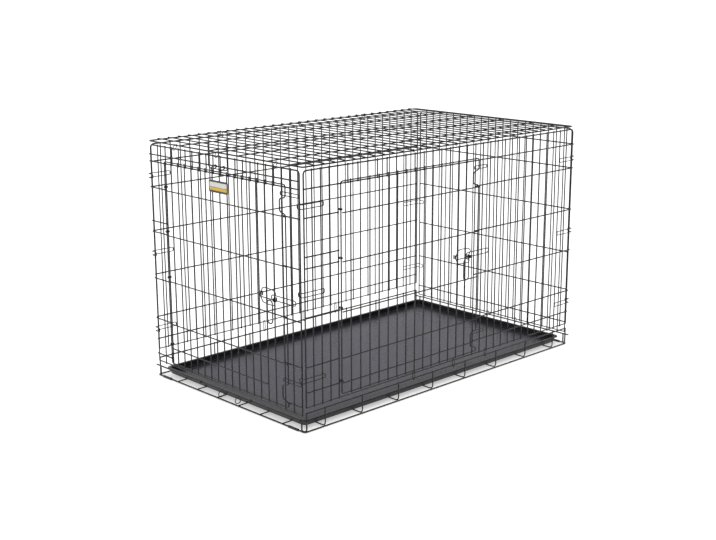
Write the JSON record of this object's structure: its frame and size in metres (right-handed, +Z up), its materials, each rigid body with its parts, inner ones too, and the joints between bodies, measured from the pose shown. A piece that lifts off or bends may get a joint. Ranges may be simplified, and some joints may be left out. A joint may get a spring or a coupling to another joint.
{
  "type": "folding dog crate",
  "caption": "Folding wire dog crate with an end door, a side door, slide bolts and a slide-out pan. Every wall and the roof fold flat on hinge rings.",
  "frame": {"origin": "on the floor, below the middle of the crate", "axes": "+X along the crate from the door end to the plain end, +Y from the side-door wall to the plain long wall, +Z up"},
  "size_m": [1.2934, 0.7824, 0.8352],
  "materials": {
    "coated_wire": "satin",
    "ring_steel": "satin",
    "pan_plastic": "satin",
    "foot_plastic": "satin",
    "plate": "satin"
  },
  "bodies": {
    "base": {"base_floor": "coated_wire", "base_rim_near": "coated_wire", "base_rim_far": "coated_wire", "base_bar_front": "coated_wire", "base_bar_rear": "coated_wire", "foot_sleeve_front_near": "foot_plastic", "foot_sleeve_front_far": "foot_plastic", "foot_sleeve_rear_near": "foot_plastic", "foot_sleeve_rear_far": "foot_plastic", "front_bar_clip_1": "ring_steel", "front_bar_clip_2": "ring_steel", "front_bar_clip_3": "ring_steel", "rear_hinge_ring_1": "ring_steel", "rear_hinge_ring_2": "ring_steel", "rear_hinge_ring_3": "ring_steel", "near_hinge_ring_1": "ring_steel", "near_hinge_ring_2": "ring_steel", "near_hinge_ring_3": "ring_steel", "far_hinge_ring_1": "ring_steel", "far_hinge_ring_2": "ring_steel", "far_hinge_ring_3": "ring_steel"},
    "pan": {"pan": "pan_plastic", "pan_wall_front": "pan_plastic", "pan_wall_rear": "pan_plastic", "pan_wall_near": "pan_plastic", "pan_wall_far": "pan_plastic", "pan_pull_1": "ring_steel", "pan_pull_2": "ring_steel"},
    "rear_wall": {"rear_wall": "coated_wire"},
    "front_wall": {"front_bay_left": "coated_wire", "front_bay_right": "coated_wire", "front_head": "coated_wire", "front_sill": "coated_wire", "carry_link_1": "ring_steel", "carry_link_2": "ring_steel"},
    "near_wall": {"near_bay_front": "coated_wire", "near_bay_rear": "coated_wire", "near_head": "coated_wire", "near_sill": "coated_wire"},
    "far_wall": {"far_wall": "coated_wire", "roof_hinge_ring_1": "ring_steel", "roof_hinge_ring_2": "ring_steel", "roof_hinge_ring_3": "ring_steel"},
    "roof": {"roof": "coated_wire", "roof_edge_ring_1": "ring_steel", "roof_edge_ring_2": "ring_steel", "roof_edge_ring_3": "ring_steel", "front_hinge_ring_1": "ring_steel", "front_hinge_ring_2": "ring_steel", "front_hinge_ring_3": "ring_steel"},
    "front_door": {"front_door": "coated_wire", "front_latch_bracket": "coated_wire", "name_plate": "plate"},
    "side_door": {"side_door": "coated_wire", "side_latch_bracket": "coated_wire"},
    "front_bolt": {"front_latch_bolt": "coated_wire"},
    "side_bolt": {"side_latch_bolt": "coated_wire"},
    "front_handle": {"front_latch_handle": "coated_wire"},
    "side_handle": {"side_latch_handle": "coated_wire"},
    "carry_handle": {"carry_handle": "coated_wire"}
  },
  "joints": [
    {"name": "pan_slide", "type": "slide", "parent": "base", "child": "pan", "axis": [-1, 0, 0], "range_m": [0, 1.1]},
    {"name": "rear_fold", "type": "hinge", "parent": "base", "child": "rear_wall", "pos_m": [0.634, 0, 0.046], "axis": [0, -1, 0], "range_deg": [0, 90]},
    {"name": "front_fold", "type": "hinge", "parent": "roof", "child": "front_wall", "pos_m": [-0.634, 0, 0.787], "axis": [0, -1, 0], "range_deg": [0, 90]},
    {"name": "near_fold", "type": "hinge", "parent": "base", "child": "near_wall", "pos_m": [0, -0.374, 0.08], "axis": [-1, 0, 0], "range_deg": [0, 90]},
    {"name": "far_fold", "type": "hinge", "parent": "base", "child": "far_wall", "pos_m": [0, 0.374, 0.094], "axis": [1, 0, 0], "range_deg": [0, 87]},
    {"name": "top_fold", "type": "hinge", "parent": "far_wall", "child": "roof", "pos_m": [0, 0.384, 0.797], "axis": [-1, 0, 0], "range_deg": [0, 268]},
    {"name": "front_door_swing", "type": "hinge", "parent": "front_wall", "child": "front_door", "pos_m": [-0.642, 0.28, 0.405], "axis": [0, 0, 1], "range_deg": [-130, 0]},
    {"name": "side_door_swing", "type": "hinge", "parent": "near_wall", "child": "side_door", "pos_m": [-0.49, -0.382, 0.415], "axis": [0, 0, 1], "range_deg": [-130, 0]},
    {"name": "front_bolt_slide", "type": "slide", "parent": "front_door", "child": "front_bolt", "axis": [0, -1, 0], "range_m": [-0.045, 0]},
    {"name": "side_bolt_slide", "type": "slide", "parent": "side_door", "child": "side_bolt", "axis": [1, 0, 0], "range_m": [-0.045, 0]},
    {"name": "front_handle_swing", "type": "hinge", "parent": "front_bolt", "child": "front_handle", "pos_m": [-0.6516, -0.245, 0.3897], "axis": [0, -1, 0], "range_deg": [-80, 0]},
    {"name": "side_handle_swing", "type": "hinge", "parent": "side_bolt", "child": "side_handle", "pos_m": [0.055, -0.3916, 0.4217], "axis": [1, 0, 0], "range_deg": [-80, 0]},
    {"name": "carry_handle_swing", "type": "hinge", "parent": "front_wall", "child": "carry_handle", "pos_m": [-0.649, 0, 0.752], "axis": [0, 1, 0], "range_deg": [-165, 0]}
  ],
  "couplings": [
    {"joint": "top_fold", "follows": "far_fold", "ratio": 3.0805}
  ]
}
